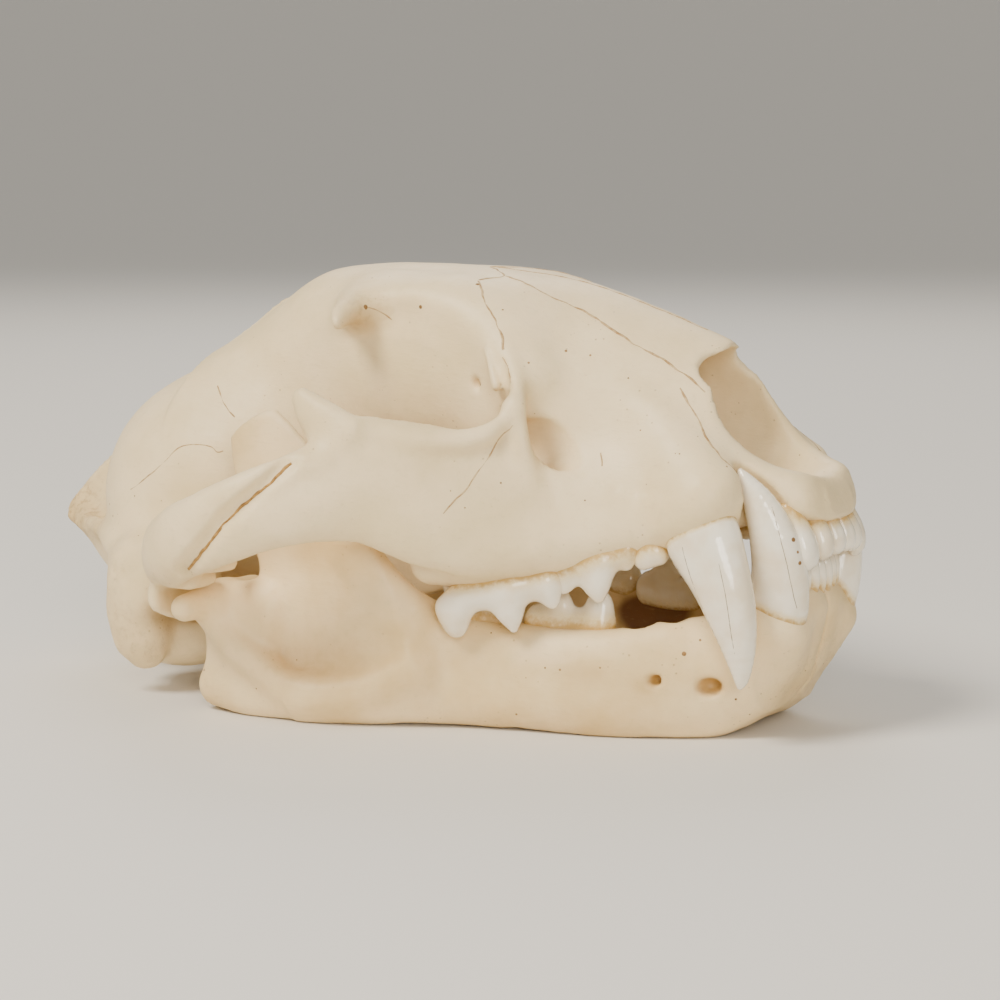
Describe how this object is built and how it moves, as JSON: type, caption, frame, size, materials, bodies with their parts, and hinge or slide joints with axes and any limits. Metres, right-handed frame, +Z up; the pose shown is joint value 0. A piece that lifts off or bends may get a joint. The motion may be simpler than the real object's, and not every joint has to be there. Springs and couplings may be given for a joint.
{
  "type": "cougar skull with lower jaw",
  "caption": "Cleaned skull of a large cat, jaws closed with the long canines crossed, lying on its lower jaw as a museum piece.",
  "frame": {"origin": "on the floor, under the middle of the object's bounding box", "axes": "+X towards the nose, +Y towards the animal's left, +Z up"},
  "size_m": [0.1922, 0.1371, 0.0904],
  "materials": {
    "bone": "matt, dry, cream-white degreased bone",
    "jaw_bone": "matt, dry, cream-white degreased bone",
    "tooth_enamel": "smooth, glossy off-white enamel"
  },
  "bodies": {
    "root": {"cranium": "bone", "jugal_left": "bone", "jugal_right": "bone", "mandible_left": "jaw_bone", "mandible_right": "jaw_bone", "upper_canine_left": "tooth_enamel", "upper_canine_right": "tooth_enamel", "lower_canine_left": "tooth_enamel", "lower_canine_right": "tooth_enamel"}
  },
  "joints": []
}
